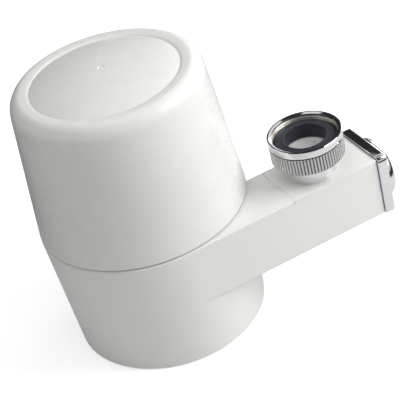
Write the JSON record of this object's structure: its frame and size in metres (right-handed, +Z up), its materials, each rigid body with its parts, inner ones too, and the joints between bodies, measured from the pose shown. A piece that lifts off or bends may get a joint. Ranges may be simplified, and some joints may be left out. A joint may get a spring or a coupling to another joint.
{
  "type": "faucet mount water filter",
  "caption": "Tap-mounted water filter: a tapered cup and domed screw cover around a ceramic candle, with a side arm, knurled swivel tap nut and square diverter knob.",
  "frame": {"origin": "middle of the filtered outlet's mouth, in the plane that the foot stands on", "axes": "+Z up the housing and out of the tap nut, +X along the arm towards the knob; the arm lies on the -Y side of the housing"},
  "size_m": [0.1281, 0.0815, 0.1107],
  "materials": {
    "housing_plastic": "white moulded plastic, satin gloss",
    "cover_plastic": "white moulded plastic, satin gloss",
    "pale_plastic": "pale moulded plastic",
    "grey_plastic": "grey engineering plastic",
    "chrome": "bright chrome plate",
    "steel": "stainless steel",
    "brass": "turned brass",
    "black_rubber": "black rubber",
    "ceramic": "unglazed white ceramic",
    "carbon": "pressed carbon block"
  },
  "bodies": {
    "housing": {"lower_housing": "housing_plastic", "arm_top_plate": "housing_plastic", "inlet_fitting": "chrome", "inlet_screen": "pale_plastic", "inlet_washer": "black_rubber", "valve_body": "grey_plastic", "valve_seal": "black_rubber", "valve_gland": "brass", "end_bezel": "chrome", "tap_water_outlet": "chrome", "outlet_screen": "pale_plastic", "filtered_spout": "pale_plastic", "cartridge_base": "pale_plastic", "cartridge_seal": "black_rubber", "ceramic_shell": "ceramic", "carbon_core": "carbon"},
    "tap_nut": {"knurled_nut": "chrome"},
    "diverter": {"valve_spindle": "brass", "spindle_ring_inner": "black_rubber", "spindle_ring_outer": "black_rubber", "diverter_knob": "chrome", "knob_screw": "steel", "knob_cap": "chrome"},
    "cover_lift": {"cover_seal": "black_rubber"},
    "cover": {"top_cover": "cover_plastic"}
  },
  "joints": [
    {"name": "nut_swivel", "type": "hinge", "parent": "housing", "child": "tap_nut", "pos_m": [0.0584, -0.0277, 0.0625], "axis": [0, 0, 1], "continuous": true},
    {"name": "diverter_turn", "type": "hinge", "parent": "housing", "child": "diverter", "pos_m": [0.0791, -0.0277, 0.03815], "axis": [1, 0, 0], "range_deg": [0, 90]},
    {"name": "cover_rise", "type": "slide", "parent": "housing", "child": "cover_lift", "axis": [0, 0, 1], "range_m": [0, 0.0091]},
    {"name": "cover_turn", "type": "hinge", "parent": "cover_lift", "child": "cover", "pos_m": [0, 0, 0.0511], "axis": [0, 0, 1], "range_deg": [0, 1080]}
  ],
  "couplings": [
    {"joint": "cover_rise", "follows": "cover_turn", "m_per_rad": 0.00047746}
  ]
}
